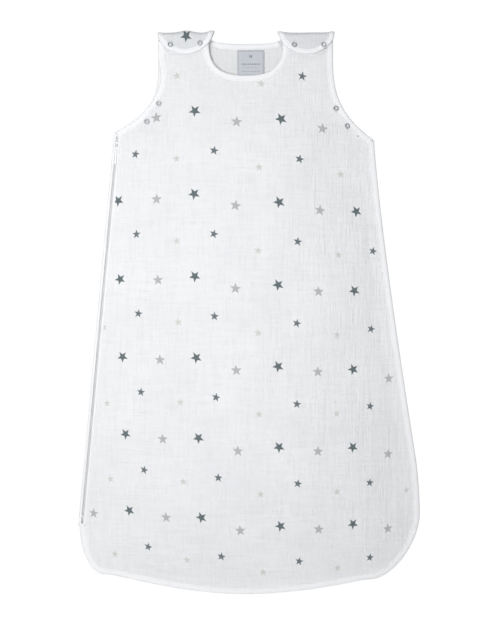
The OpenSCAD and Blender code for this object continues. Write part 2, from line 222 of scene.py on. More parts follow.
# =============================== mesh helpers ===============================
def make(name, verts, faces, material, slot, body="bag", replaces=(), merge=0.0, cloth=None, cell=None):
    """A smooth-shaded mesh object from millimetre points, riding on a body."""
    mesh = bpy.data.meshes.new(name)
    verts = np.asarray(verts, float) * MM
    mesh.from_pydata(verts.tolist(), [], [list(map(int, f)) for f in faces])
    add_cloth_coordinates(mesh, cloth, cell)
    if merge:
        bm = bmesh.new()
        bm.from_mesh(mesh)
        bmesh.ops.remove_doubles(bm, verts=bm.verts, dist=merge * MM)
        bm.to_mesh(mesh)
        bm.free()
    mesh.polygons.foreach_set("use_smooth", [True] * len(mesh.polygons))
    mesh.materials.append(material)
    obj = bpy.data.objects.new(name, mesh)
    bpy.context.scene.collection.objects.link(obj)
    if body:
        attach(obj, body)
    if replaces:
        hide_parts(*replaces)
    return obj


def add_cloth_coordinates(mesh, cloth=None, cell=None):
    """Keeps each point's place on the cloth, so that weave and print stay put when a piece bends."""
    if cloth is None:
        co = np.empty(len(mesh.vertices) * 3, np.float32)
        mesh.vertices.foreach_get("co", co)
        cloth = co.reshape(-1, 3) / MM
    store(mesh, "cloth", cloth)
    u, v = print_cell(cloth[:, 0], cloth[:, 2]) if cell is None else cell
    store(mesh, "print", np.stack([u, v, u * 0], 1))


def print_cell(x, z):
    """Place in the print's lattice, which leans and stretches a little with the hanging cloth."""
    a, b = x / 200, (z + 440) / 400
    u = 0.13 + 1.56 * a + 0.018 * b - 0.094 * a * b - 0.054 * b**2 + 0.056 * a**3
    v = 2.416 - 0.137 * a - 3.08 * b - 0.04 * a**2 + 0.07 * b**2 + 0.042 * a**3 - 0.158 * a**2 * b
    return u, v


def store(mesh, name, values):
    layer = mesh.attributes.get(name) or mesh.attributes.new(name, "FLOAT_VECTOR", "POINT")
    layer.data.foreach_set("vector", np.ascontiguousarray(values, np.float32).ravel())


def grid_faces(rows, cols, closed_rows=False, closed_cols=False, flip=False):
    """Quads over a rows by cols grid of points."""
    i, j = np.meshgrid(np.arange(rows if closed_rows else rows - 1),
                       np.arange(cols if closed_cols else cols - 1), indexing="ij")
    i, j = i.ravel(), j.ravel()
    i2, j2 = (i + 1) % rows, (j + 1) % cols
    quads = np.stack([i * cols + j, i2 * cols + j, i2 * cols + j2, i * cols + j2], 1)
    return quads[:, ::-1] if flip else quads


def tube_faces(rings, sides):
    """Faces of a tube of rings with this many points each, closed at both ends."""
    first, last = list(range(sides)), [(rings - 1) * sides + k for k in reversed(range(sides))]
    return grid_faces(rings, sides, closed_cols=True).tolist() + [first, last]


def slab_faces(rows, cols):
    """Faces of a thin slab: one grid of points, the same grid again behind it, and the rim between."""
    off = rows * cols
    index = np.arange(off).reshape(rows, cols)
    front = grid_faces(rows, cols).tolist()
    back = [[v + off for v in f[::-1]] for f in front]
    rim = np.concatenate([index[0, :-1], index[:-1, -1], index[-1, :0:-1], index[:0:-1, 0]])
    return front + back + [[a, b, b + off, a + off] for a, b in zip(rim, np.roll(rim, -1))]


class Parts:
    """Collects small meshes, so that many stitches or teeth make one piece."""

    def __init__(self):
        self.verts, self.faces, self.count = [], [], 0

    def add(self, verts, faces):
        self.verts.append(np.asarray(verts, float))
        self.faces += [[v + self.count for v in f] for f in faces]
        self.count += len(verts)

    def make(self, name, material, slot, **more):
        return make(name, np.concatenate(self.verts), self.faces, material, slot, **more)


def capsule(centre, along, radius, flat=1.0, up=(0, -1, 0), sides=8):
    """A rounded stitch or tooth: points and faces. along is its half length vector."""
    along, up = np.asarray(along, float), np.asarray(up, float)
    half = np.linalg.norm(along)
    d = along / half
    side = np.cross(d, up)
    side /= np.linalg.norm(side)
    up = np.cross(side, d)
    verts = [centre - along]
    stations = [(-0.86, 0.6), (-0.6, 0.92), (0, 1), (0.6, 0.92), (0.86, 0.6)]
    for t, r in stations:
        for k in range(sides):
            a = 2 * math.pi * k / sides
            verts.append(centre + along * t + radius * r * (math.cos(a) * side + flat * math.sin(a) * up))
    verts.append(centre + along)
    faces = []
    for k in range(sides):
        n = (k + 1) % sides
        faces.append([0, 1 + n, 1 + k])
        for s in range(len(stations) - 1):
            a, b = 1 + s * sides, 1 + (s + 1) * sides
            faces.append([a + k, a + n, b + n, b + k])
        last = 1 + (len(stations) - 1) * sides
        faces.append([last + k, last + n, len(verts) - 1])
    return verts, faces


def lathe(centre, profile, sides=48, sign=1):
    """A ring about Y: profile is a closed loop of (radius, y)."""
    verts, n = [], len(profile)
    for k in range(sides):
        a = 2 * math.pi * k / sides
        for r, y in profile:
            verts.append((centre[0] + r * math.cos(a), centre[1] + sign * y, centre[2] + r * math.sin(a)))
    return verts, grid_faces(sides, n, True, True, flip=sign < 0).tolist()


# =============================== materials ===============================
class Shader:
    """Short names for building one material's node graph."""

    def __init__(self, name):
        self.material = bpy.data.materials.new(name)
        self.material.use_nodes = True
        self.nodes = self.material.node_tree.nodes
        self.links = self.material.node_tree.links
        self.out = next(n for n in self.nodes if n.type == "BSDF_PRINCIPLED")

    def put(self, socket, value):
        if isinstance(value, bpy.types.NodeSocket):
            self.links.new(value, socket)
        else:
            socket.default_value = value

    def set(self, name, value):
        self.put(self.out.inputs[name], value)

    def math(self, operation, a, b=None, c=None, clamp=False):
        node = self.nodes.new("ShaderNodeMath")
        node.operation, node.use_clamp = operation, clamp
        for socket, value in zip(node.inputs, (a, b, c)):
            if value is not None:
                self.put(socket, value)
        return node.outputs[0]

    def attribute(self, name):
        node = self.nodes.new("ShaderNodeAttribute")
        node.attribute_name = name
        return node.outputs["Vector"]

    def split(self, vector):
        node = self.nodes.new("ShaderNodeSeparateXYZ")
        self.put(node.inputs[0], vector)
        return node.outputs

    def join(self, x, y, z=0.0):
        node = self.nodes.new("ShaderNodeCombineXYZ")
        for socket, value in zip(node.inputs, (x, y, z)):
            self.put(socket, value)
        return node.outputs[0]

    def scale(self, vector, factors):
        node = self.nodes.new("ShaderNodeVectorMath")
        node.operation = "MULTIPLY"
        self.put(node.inputs[0], vector)
        self.put(node.inputs[1], factors)
        return node.outputs[0]

    def noise(self, vector, scale=1.0, detail=2.0, rough=0.5):
        node = self.nodes.new("ShaderNodeTexNoise")
        self.put(node.inputs["Vector"], vector)
        self.put(node.inputs["Scale"], scale)
        self.put(node.inputs["Detail"], detail)
        self.put(node.inputs["Roughness"], rough)
        return node.outputs["Fac"]

    def blend(self, factor, a, b):
        node = self.nodes.new("ShaderNodeMix")
        node.data_type = "RGBA"
        self.put(node.inputs["Factor"], factor)
        self.put(node.inputs["A"], a)
        self.put(node.inputs["B"], b)
        return node.outputs["Result"]

    def bump(self, height, distance, strength=1.0):
        node = self.nodes.new("ShaderNodeBump")
        self.put(node.inputs["Height"], height)
        self.put(node.inputs["Distance"], distance)
        self.put(node.inputs["Strength"], strength)
        self.set("Normal", node.outputs[0])


def rgb(r, g, b):
    return (r, g, b, 1.0)


def star_mask(sh, u, v, place, shift, radius, point_down, lean):
    """1 inside one kind of star, 0 outside. Every other column of stars stands shifted a little."""
    inner = 0.42 * radius
    column = sh.math("FLOOR", sh.math("SUBTRACT", u, place[0] - 0.5))
    even = sh.math("SUBTRACT", 1.0, sh.math("PINGPONG", column, 1.0))
    du = sh.math("SUBTRACT", sh.math("SUBTRACT", u, place[0] - 0.5), sh.math("MULTIPLY", even, shift[0]))
    dv = sh.math("SUBTRACT", sh.math("SUBTRACT", v, place[1] - 0.5), sh.math("MULTIPLY", even, shift[1]))
    chance = sh.nodes.new("ShaderNodeTexWhiteNoise")
    sh.put(chance.inputs["Vector"], sh.join(column, sh.math("FLOOR", dv), radius))
    x = sh.math("MULTIPLY", sh.math("SUBTRACT", sh.math("FRACT", du), 0.5), CELL)
    y = sh.math("MULTIPLY", sh.math("SUBTRACT", sh.math("FRACT", dv), 0.5), CELL if point_down else -CELL)
    turned = sh.math("ADD", sh.math("ARCTAN2", x, y),
                     sh.math("MULTIPLY_ADD", chance.outputs["Value"], 0.24, math.radians(lean) - 0.12))
    fold = sh.math("PINGPONG", turned, math.radians(36))
    reach = sh.math("SQRT", sh.math("ADD", sh.math("MULTIPLY", x, x), sh.math("MULTIPLY", y, y)))
    nx, ny = inner * math.sin(math.radians(36)), radius - inner * math.cos(math.radians(36))
    size = math.hypot(nx, ny)
    along = sh.math("MULTIPLY", sh.math("COSINE", fold), reach)
    across = sh.math("MULTIPLY", sh.math("SINE", fold), reach)
    beyond = sh.math("ADD", sh.math("MULTIPLY", sh.math("SUBTRACT", along, radius), nx / size),
                     sh.math("MULTIPLY", across, ny / size))
    return sh.math("SUBTRACT", 0.5, sh.math("MULTIPLY", beyond, 2.2), clamp=True)


# kind: place in the cell, shift of every other column, radius, one point down, lean, ink colour
STARS = [
    ((0.5, 0.0), (0.026, 0.023), 9.7, True, 8, rgb(0.085, 0.120, 0.130)),
    ((0.031, 0.054), (-0.03, 0.062), 9.2, False, 0, rgb(0.450, 0.455, 0.455)),
    ((0.739, 0.474), (0.023, -0.003), 7.4, False, -8, rgb(0.115, 0.145, 0.160)),
    ((0.281, 0.572), (-0.002, 0.061), 6.6, False, 4, rgb(0.635, 0.645, 0.615)),
]


def crinkle(sh, cloth):
    """Height of muslin: fine crêpe lines along warp and weft over a plain weave."""
    warp = sh.noise(sh.scale(cloth, (0.30, 0.30, 0.022)), 1.0, 4.0, 0.62)
    weft = sh.noise(sh.scale(cloth, (0.022, 0.022, 0.27)), 1.0, 4.0, 0.62)
    thread = sh.noise(sh.scale(cloth, (1.3, 1.3, 1.1)), 1.0, 2.0, 0.6)
    rough = sh.math("ADD", sh.math("MULTIPLY", warp, 1.0), sh.math("MULTIPLY", weft, 0.85))
    return sh.math("ADD", rough, sh.math("MULTIPLY", thread, 0.2))


def muslin(name, colour, shade, printed=False, height=0.0017):
    sh = Shader(name)
    cloth = sh.attribute("cloth")
    cloud = sh.noise(sh.scale(cloth, (0.012, 0.012, 0.012)), 1.0, 4.0, 0.6)
    crease = crinkle(sh, cloth)
    base = sh.blend(sh.math("MULTIPLY_ADD", cloud, 2.2, -0.6, clamp=True), colour, shade)
    # Painted shade: the colour darkens towards a deeper copy of the shade colour in the low lines of the
    # crêpe bump, as if shade fell in them.
    base = sh.blend(sh.math("MULTIPLY_ADD", crease, -2.0, 2.2, clamp=True), base,
                    rgb(*[c * 0.93 for c in shade[:3]]))
    if printed:
        u, v, _ = sh.split(sh.attribute("print"))
        wobble = sh.noise(sh.scale(cloth, (0.9, 0.9, 0.9)), 1.0, 2.0)
        cover = sh.math("MULTIPLY_ADD", wobble, 0.35, 0.76, clamp=True)
        for place, shift, radius, down, lean, ink in STARS:
            mask = star_mask(sh, u, v, place, shift, radius, down, lean)
            base = sh.blend(sh.math("MULTIPLY", mask, cover), base, ink)
    sh.set("Base Color", base)
    sh.set("Roughness", 0.93)
    sh.set("Specular IOR Level", 0.2)
    sh.set("Sheen Weight", 0.15)
    sh.set("Sheen Roughness", 0.5)
    sh.bump(crease, height)
    return sh.material


def woven(name, colour, shade, pitch, height=0.0004, rough=0.85):
    """A tape or label: crossed ribs at the given pitch in millimetres."""
    sh = Shader(name)
    cloth = sh.attribute("cloth")
    x, _, z = sh.split(cloth)
    ribs = lambda c, p: sh.math("SINE", sh.math("MULTIPLY", c, 2 * math.pi / p))
    weave = sh.math("ADD", ribs(x, pitch), ribs(z, pitch * 1.1))
    cloud = sh.noise(sh.scale(cloth, (0.05, 0.05, 0.05)), 1.0, 3.0)
    fuzz = sh.noise(sh.scale(cloth, (0.5, 0.5, 0.5)), 1.0, 3.0)
    mottle = sh.math("MULTIPLY_ADD", cloud, 1.6, -0.3, clamp=True)
    sh.set("Base Color", sh.blend(mottle, colour, shade))
    sh.set("Roughness", rough)
    sh.set("Specular IOR Level", 0.25)
    sh.set("Sheen Weight", 0.1)
    sh.bump(sh.math("ADD", sh.math("MULTIPLY", weave, 0.12), fuzz), height)
    return sh.material


def metal(name, colour, rough, brushed=(1, 1, 1)):
    sh = Shader(name)
    place = sh.nodes.new("ShaderNodeTexCoord").outputs["Object"]
    grain = sh.noise(sh.scale(place, tuple(900 * b for b in brushed)), 1.0, 3.0)
    worn = sh.noise(sh.scale(place, (220, 220, 220)), 1.0, 2.0)
    sh.set("Base Color", sh.blend(worn, rgb(*colour), rgb(*[c * 0.86 for c in colour])))
    sh.set("Metallic", 1.0)
    sh.set("Roughness", sh.math("MULTIPLY_ADD", grain, 0.18, rough - 0.08))
    sh.bump(grain, 0.00003)
    return sh.material


def enamel(name, colour, rough):
    """Painted metal: a smooth white coat with a faint orange-peel surface."""
    sh = Shader(name)
    place = sh.nodes.new("ShaderNodeTexCoord").outputs["Object"]
    peel = sh.noise(sh.scale(place, (1500, 1500, 1500)), 1.0, 2.0)
    worn = sh.noise(sh.scale(place, (260, 260, 260)), 1.0, 3.0)
    sh.set("Base Color", sh.blend(worn, rgb(*colour), rgb(*[c * 0.92 for c in colour])))
    sh.set("Roughness", sh.math("MULTIPLY_ADD", worn, 0.15, rough - 0.07))
    sh.bump(peel, 0.00002)
    return sh.material


# Marks on the label, top to bottom: height of the middle, half height, half width, strength
LABEL_MARKS = [(-29, 2.2, 2.2, 0.75), (-41.5, 1.2, 15, 0.5), (-46.5, 0.5, 12, 0.35), (-53, 0.5, 15, 0.45)]


def label_cloth(name):
    """Pale woven label with a woven border and rows of thin marks that spell nothing."""
    sh = Shader(name)
    cloth = sh.attribute("cloth")
    x, _, z = sh.split(cloth)
    satin = sh.math("SINE", sh.math("MULTIPLY", sh.math("ADD", x, z), 2 * math.pi / 0.7))
    fuzz = sh.noise(sh.scale(cloth, (0.8, 0.8, 0.8)), 1.0, 3.0)
    inside = lambda c, lo, hi: sh.math(
        "MULTIPLY", sh.math("GREATER_THAN", c, lo), sh.math("LESS_THAN", c, hi))
    base = sh.blend(sh.math("MULTIPLY_ADD", fuzz, 0.8, 0.0, clamp=True),
                    rgb(0.62, 0.64, 0.69), rgb(0.54, 0.56, 0.61))
    grey = rgb(0.10, 0.11, 0.13)
    frame_in = sh.math("MULTIPLY", inside(x, LABEL_X[0] + 2.4, LABEL_X[1] - 2.4),
                       inside(z, LABEL_Z[1] + 2.4, LABEL_Z[0] - 2.4))
    frame_out = sh.math("MULTIPLY", inside(x, LABEL_X[0] + 1.6, LABEL_X[1] - 1.6),
                        inside(z, LABEL_Z[1] + 1.6, LABEL_Z[0] - 1.6))
    base = sh.blend(sh.math("MULTIPLY", sh.math("SUBTRACT", frame_out, frame_in), 0.35), base, grey)
    mid = sum(LABEL_X) / 2
    for centre, half, width, strength in LABEL_MARKS:
        row = sh.math("MULTIPLY", inside(z, centre - half, centre + half),
                      inside(x, mid - width, mid + width))
        dash = sh.math("GREATER_THAN", sh.noise(sh.scale(cloth, (0.9, 0, 0)), 1.0, 0.0), 0.42)
        base = sh.blend(sh.math("MULTIPLY", sh.math("MULTIPLY", row, dash), strength), base, grey)
    sh.set("Base Color", base)
    sh.set("Roughness", 0.6)
    sh.set("Sheen Weight", 0.2)
    sh.bump(sh.math("MULTIPLY_ADD", satin, 0.3, fuzz), 0.0002)
    return sh.material


WHITE, COOL = rgb(0.862, 0.864, 0.874), rgb(0.815, 0.820, 0.838)
MUSLIN = muslin("printed_muslin", WHITE, COOL, printed=True)
# The straps and tabs take a darker, greyer copy of the printed muslin.
STRAP_CLOTH = muslin("strap_muslin", rgb(0.775, 0.785, 0.80), rgb(0.73, 0.742, 0.762), printed=True)
LINING = muslin("lining_muslin", rgb(0.83, 0.835, 0.84), rgb(0.78, 0.785, 0.79))
TAPE = woven("binding_tape", rgb(0.925, 0.93, 0.945), rgb(0.89, 0.897, 0.915), 0.9)
THREAD = woven("sewing_thread", rgb(0.86, 0.865, 0.88), rgb(0.80, 0.81, 0.83), 0.4, rough=0.6)
SNAP = metal("snap_metal", (0.40, 0.42, 0.44), 0.42)
ENAMEL = enamel("zip_enamel", (0.84, 0.845, 0.855), 0.4)
COIL = woven("zip_coil", rgb(0.93, 0.935, 0.94), rgb(0.90, 0.905, 0.91), 0.8, rough=0.5)
ZIP_TAPE = woven("zip_tape", rgb(0.90, 0.905, 0.91), rgb(0.86, 0.865, 0.87), 0.7)
LABEL = label_cloth("label_satin")


# =============================== panels ===============================
NECK_ROWS, CORNER_ROWS = 26, 48


def panel_grid(half, top, drop, step, columns, inset):
    """Rows of (x, z) over a panel: the left half's columns, then the right half's."""
    share = np.linspace(0, 1, columns + 1)
    rows = []
    across = lambda z, l, il, ir, r: rows.append(
        (np.concatenate([mix(l, il, share), mix(ir, r, share)]), np.full(2 * columns + 2, float(z))))
    for a in np.radians(np.linspace(0, 90, NECK_ROWS + 1)[:-1]):
        x, z = half * math.cos(a) ** 0.74, -top - (drop - top) * math.sin(a) ** 0.74
        across(z, left_edge(z) + (tuck(z) if inset else 0), -x, x, right_edge(z))
    for z in np.linspace(-drop, -SIDE_END, int((SIDE_END - drop) / step) + 1):
        across(z, left_edge(z) + (tuck(z) + zip_inset(z) if inset else 0), 0, 0, right_edge(z))
    for t in np.sin(np.radians(np.linspace(0, 90, CORNER_ROWS + 1)[1:])):
        (lx, lz), (rx, rz) = corner_left(t), corner_right(t)
        lx = lx + (zip_inset(lz) if inset else 0)
        x = np.concatenate([mix(lx, 0, share), mix(0, rx, share)])
        s = (x - lx) / (rx - lx)
        rows.append((x, mix(lz, rz, s) - t * sag(2 * s - 1)))
    return np.array([r[0] for r in rows]), np.array([r[1] for r in rows])


def sheet(name, x, z, near, far, material, slot, replaces):
    """A closed sheet over the grid from y = near to y = far, with the neck left open."""
    rows, cols = x.shape
    split = cols // 2 - 1
    verts = np.concatenate([np.stack([x, y, z], 2).reshape(-1, 3) for y in (near, far)])
    off = rows * cols
    index = np.arange(off).reshape(rows, cols)
    q = index + off
    keep = [j for j in range(cols - 1) if j != split]
    after = [j + 1 for j in keep]
    a, b, c, d = index[:-1, keep], index[1:, keep], index[1:, after], index[:-1, after]
    faces = [np.stack([a, b, c, d], 2).reshape(-1, 4), np.stack([d, c, b, a], 2).reshape(-1, 4) + off]

    def rim(j, until, outward_left):
        i = np.arange(until)
        quad = np.stack([q[i, j], q[i + 1, j], index[i + 1, j], index[i, j]], 1)
        faces.append(quad if outward_left else quad[:, ::-1])

    rim(0, rows - 1, True)
    rim(split, NECK_ROWS, False)
    rim(split + 1, NECK_ROWS, True)
    rim(cols - 1, rows - 1, False)
    for j in keep:
        faces.append(np.array([[index[0, j], index[0, j + 1], q[0, j + 1], q[0, j]],
                               [q[-1, j], q[-1, j + 1], index[-1, j + 1], index[-1, j]]]))
    return make(name, verts, np.concatenate(faces), material, slot, replaces=replaces, merge=0.004)


def front_sheet(name, step, columns, inner, outer, *more):
    x, z = panel_grid(NECK_HALF, NECK_TOP, NECK_DROP, step, columns, True)
    face = front_face(x, z)
    return sheet(name, x, z, face - outer, face - inner, *more)


def back_sheet(name, step, columns, inner, outer, *more):
    x, z = panel_grid(STRAP_INNER, 0, BACK_NECK_DROP, step, columns, False)
    face = back_face(x, z)
    return sheet(name, x, z, face + inner, face + outer, *more)


front_panel = front_sheet("front_panel", 2.5, 100, CLOTH_T, WAD, MUSLIN, "printed_muslin",
                          ["front_outer", "front_middle"])
front_lining = front_sheet("front_lining_panel", 5, 50, 0, CLOTH_T, LINING, "lining_muslin",
                           ["front_lining"])
back_panel = back_sheet("back_panel", 2.5, 100, CLOTH_T, WAD, MUSLIN, "printed_muslin",
                        ["back_outer", "back_middle"])
back_lining = back_sheet("back_lining_panel", 5, 50, 0, CLOTH_T, LINING, "lining_muslin",
                         ["back_lining"])


# =============================== bindings ===============================
def resample(path, step):
    path = np.asarray(path, float)
    run = np.concatenate([[0], np.cumsum(np.linalg.norm(np.diff(path, axis=0), axis=1))])
    at = np.linspace(0, run[-1], int(run[-1] / step) + 1)
    return np.stack([np.interp(at, run, path[:, k]) for k in range(path.shape[1])], 1), at


def headings(path):
    d = np.gradient(path, axis=0)
    return d / np.linalg.norm(d, axis=1, keepdims=True)


# The tape's outer face: (distance in from the cloth's edge, near 0 or far 1, rise off the cloth)
TAPE_FACE = [(1.0, 0, 0.02), (0.985, 0, 0.42), (0.94, 0, 0.72), (0.87, 0, 0.74), (0.815, 0, 0.46),
             (0.78, 0, 0.34), (0.745, 0, 0.48), (0.68, 0, 0.84), (0.5, 0, 1.0), (0.3, 0, 0.98),
             (0.16, 0, 0.86), (0.05, 0, 0.62)]
FOLD_OVER = [(-0.2, 0.0, 0.32), (-0.6, 0.1, 0.05), (-0.9, 0.34, 0.0), (-0.9, 0.66, 0.0),
             (-0.6, 0.9, 0.05), (-0.2, 1.0, 0.32)]


def tape_section(width):
    """Closed loop of (in from the edge in mm, 0 near to 1 far, outward rise in mm)."""
    front = [(w * width, side, rise) for w, side, rise in TAPE_FACE]
    back = [(w, 1, rise) for w, _, rise in reversed(front)]
    inner = [(0.9 * width, 1, -0.02), (0.1, 1, -0.02), (0.1, 0, -0.02), (0.9 * width, 0, -0.02)]
    return front + FOLD_OVER + back + inner


def between(near, far):
    """Lays a flat point on cloth whose faces are near(x, z) and far(x, z), risen off the given side."""
    def lay(c, side, rise):
        y = mix(near(c[:, 0], c[:, 1]), far(c[:, 0], c[:, 1]), side)
        return np.stack([c[:, 0], y + rise * (-1 if side < 0.5 else 1), c[:, 1]], 1)
    return lay


def binding(name, path, lay, replaces, body="bag", width=TAPE_W, seed=0, step=2.0, stitches=None):
    """A folded tape over a cloth edge. The path runs with the cloth on its left."""
    path, run = resample(path, step)
    heading = headings(path)
    normal = np.stack([-heading[:, 1], heading[:, 0]], 1)
    ripple = value_noise(run, run * 0 + seed, 5.5, 1, 40 + seed) * 0.14
    wander = value_noise(run, run * 0, 60, 1, 90 + seed) * 0.35
    rings, flat = [], []
    for leg, side, rise in tape_section(width):
        edge = wander * (leg / width if leg > 0 else 0)
        c = path + (leg + edge)[:, None] * normal
        rings.append(lay(c, side, rise * (1 + ripple * (1 if 0 < leg < width else 0.3))))
        flat.append(np.stack([c[:, 0], c[:, 0] * 0 + side, c[:, 1]], 1))
    n, m = len(path), len(rings)
    tape = Parts()
    tape.add(np.stack(rings, 1).reshape(-1, 3), tube_faces(n, m))
    stitch_row(path + 0.78 * width * normal, lay, tape if stitches is None else stitches)
    count = tape.count - n * m
    flat = np.concatenate([np.stack(flat, 1).reshape(-1, 3), np.zeros((count, 3))])
    return tape.make(name, TAPE, "binding_tape", body=body, replaces=replaces, cloth=flat)


STITCHES = Parts()


def stitch_row(line, lay, parts, pitch=3.0):
    """A row of straight stitches along the tape's inner edge, on both faces."""
    line, _ = resample(line, pitch)
    heading = headings(line) * 1.05
    for side in (0, 1):
        start, end = lay(line - heading, side, 0.5), lay(line + heading, side, 0.5)
        for a, b in list(zip(start, end))[1:-1]:
            parts.add(*capsule((a + b) / 2, (b - a) / 2, 0.24))


def front_near(x, z):
    return STRAP_FACE + sway(x, z)


def front_far(x, z):
    return FRONT_IN + sway(x, z)


def back_near(x, z):
    return back_base(z) + sway(x, z)


def back_far(x, z):
    return back_base(z) + WAD + sway(x, z)


def neckline(half, top, drop, skip):
    a = np.radians(np.linspace(skip, 90, 40))
    x, z = half * np.cos(a) ** 0.74, -top - (drop - top) * np.sin(a) ** 0.74
    right = np.stack([x, z], 1)
    left = np.stack([-x, z], 1)[::-1]
    return np.concatenate([right, left[1:]])


def armhole(edge, top, depth, upward):
    z = -np.linspace(top, depth - 1, 60)
    path = np.stack([edge(z), z], 1)
    return path[::-1] if upward else path


def hem_path():
    """From the foot of the zip round the left corner, along the hem and up the right side."""
    quarter = np.sin(np.radians(np.linspace(8, 90, 40)))
    left = np.array([corner_left(v) for v in quarter])
    x = np.linspace(CORNER_LEFT[0], CORNER_RIGHT[0], 160)[1:-1]
    hem = np.stack([x, hem_z(x)], 1)
    right = np.array([corner_right(v) for v in np.sin(np.radians(np.linspace(90, 0, 40)))])
    z = np.linspace(-SIDE_END, -ARMHOLE_RIGHT - 1, 160)[1:]
    return np.concatenate([left, hem, right, np.stack([right_edge(z), z], 1)])


FRONT_LAY, BACK_LAY = between(front_near, front_far), between(back_near, back_far)
SIDE_LAY = between(front_near, lambda x, z: BACK_IN + WAD + sway(x, z))
tucked_edge = lambda z: left_edge(z) + tuck(z)
BINDINGS = [
    ("front_neck", neckline(NECK_HALF, NECK_TOP, NECK_DROP, 0), FRONT_LAY),
    ("back_neck", neckline(STRAP_INNER, 0, BACK_NECK_DROP, 20), BACK_LAY),
    ("front_left_armhole", armhole(tucked_edge, NECK_TOP, ARMHOLE_LEFT, False), FRONT_LAY),
    ("front_right_armhole", armhole(right_edge, NECK_TOP, ARMHOLE_RIGHT, True), FRONT_LAY),
    ("back_left_armhole", armhole(left_edge, 3, ARMHOLE_LEFT, False), BACK_LAY),
    ("back_right_armhole", armhole(right_edge, 3, ARMHOLE_RIGHT, True), BACK_LAY),
    ("side_hem", hem_path(), SIDE_LAY),
]
for k, (name, path, lay) in enumerate(BINDINGS):
    binding(f"{name}_tape", path, lay, [f"{name}_binding"], seed=k + 1, stitches=STITCHES)


def overlock(name, section):
    """The overlocked seam allowance between the two panels, inside the side and hem tape."""
    path, _ = resample(hem_path(), 3.0)
    heading = headings(path)
    normal = np.stack([-heading[:, 1], heading[:, 0]], 1)
    verts = []
    for k, (p, n) in enumerate(zip(path, normal)):
        for leg, side in section:
            c = p + leg * (1 - 0.08 * (k % 2)) * n
            verts.append((c[0], mix(FRONT_IN, BACK_IN, side) + float(sway(c[0], c[1])), c[1]))
    faces = tube_faces(len(path), len(section))
    return make(name, verts, faces, LINING, "lining_muslin", replaces=["seam_allowance"])


overlock("seam_overlock", [(0.1, 0.15), (0.6 * TAPE_W, 0.1), (0.7 * TAPE_W, 0.5), (0.6 * TAPE_W, 0.9),
                           (0.1, 0.85)])


# =============================== zip ===============================
def zip_point(u, y, s):
    """Frame point of the zip: u across it, s down along it."""
    x0 = float(left_edge(-ZIP_TOP)) + ZIP_MID / math.cos(ZIP_TILT)
    c, n = math.cos(ZIP_TILT), math.sin(ZIP_TILT)
    return np.array([x0 + u * c - s * n, y, -ZIP_TOP - u * n - s * c])


def zip_strip(name, section, start, end, material, slot, replaces, seed):
    """A long folded strip: section is a closed loop of (u, y)."""
    runs = np.arange(start, end + 1, 2.0)
    ripple = value_noise(runs, runs * 0, 6, 1, seed) * 0.06
    verts = [zip_point(u * (1 + 0.2 * r / 10), y - (r if y < STRAP_FACE - 0.2 else 0), s)
             for s, r in zip(runs, ripple) for u, y in section]
    return make(name, verts, tube_faces(len(runs), len(section)), material, slot, replaces=replaces)


def band_section(edge, fold, out):
    """One folded band lying on the front face, from its stitched edge to its fold at the groove."""
    span = fold - edge
    face = [(0.0, 0.0), (0.015, 0.42), (0.07, 0.72), (0.15, 0.68), (0.2, 0.42), (0.23, 0.36), (0.27, 0.5),
            (0.36, 0.82), (0.55, 0.9), (0.72, 0.78), (0.88, 0.5), (1.0, 0.14), (1.0, 0.02), (0.9, 0.0)]
    return [(edge + span * t, out - rise) for t, rise in face]


FRONT_BAND = band_section(GROOVE + BAND_W, GROOVE, STRAP_FACE)
zip_strip("zip_front_tape", FRONT_BAND, -BAND_TAIL, ZIP_LEN + BAND_TAIL,
          TAPE, "binding_tape", ["zip_band_front"], 61)
LEFT, REAR, REAR_END = -ZIP_MID - TAPE_T, BACK_IN + WAD, TAPE_W - ZIP_MID
BACK_BAND = [(-GROOVE, STRAP_FACE - 0.02), (-GROOVE, STRAP_FACE - 0.14), (-GROOVE - 0.5, STRAP_FACE - 0.5),
             (-GROOVE - 1.1, STRAP_FACE - 0.78), (-3.4, STRAP_FACE - 0.9), (-4.3, STRAP_FACE - 0.8),
             (-4.78, STRAP_FACE - 0.62), (-5.2, STRAP_FACE - 0.66), (LEFT + 0.35, STRAP_FACE - 0.4),
             (LEFT, STRAP_FACE + 0.2), (LEFT, REAR - 0.2), (LEFT + 0.4, REAR + 0.6), (-4.6, REAR + 0.85),
             (REAR_END - 3, REAR + 0.9), (REAR_END - 2, REAR + 0.5), (REAR_END - 1.6, REAR + 0.36),
             (REAR_END - 1.2, REAR + 0.5), (REAR_END - 0.4, REAR + 0.7), (REAR_END, REAR + 0.4),
             (REAR_END, REAR), (-ZIP_MID, REAR), (-ZIP_MID, STRAP_FACE)]
zip_strip("zip_back_tape", BACK_BAND[::-1], -BAND_TAIL, ZIP_LEN + BAND_TAIL,
          TAPE, "binding_tape", ["zip_band_back"], 62)


def rounded(x1, x2, y1, y2, r):
    """Closed section of a flat strip with softened corners."""
    r = min(r, (y2 - y1) / 2)
    return [(x1 + r, y1), (x2 - r, y1), (x2, y1 + r), (x2, y2 - r),
            (x2 - r, y2), (x1 + r, y2), (x1, y2 - r), (x1, y1 + r)]


for name, start, end in (("left", -ZIP_MID, -0.3), ("right", 0.3, 12)):
    zip_strip(f"zip_tape_{name}", rounded(start, end, FRONT_IN, FRONT_IN + 0.5, 0.2)[::-1],
              -ZIP_TAPE_TAIL, ZIP_LEN + ZIP_TAPE_TAIL,
              ZIP_TAPE, "zip_tape", ["zip_tapes"], 63 if name == "left" else 64)
for name, end, near, far, r, seed in (("cloth", -FRONT_EDGE, STRAP_FACE, FRONT_IN, 0.5, 65),
                                      ("back", -FRONT_EDGE - 0.5, FRONT_IN + 0.5, BACK_IN, 0.4, 66)):
    zip_strip(f"zip_facing_{name}", rounded(-ZIP_MID, end, near, far, r)[::-1], 0, ZIP_LEN,
              LINING, "lining_muslin", ["zip_facing"], seed)

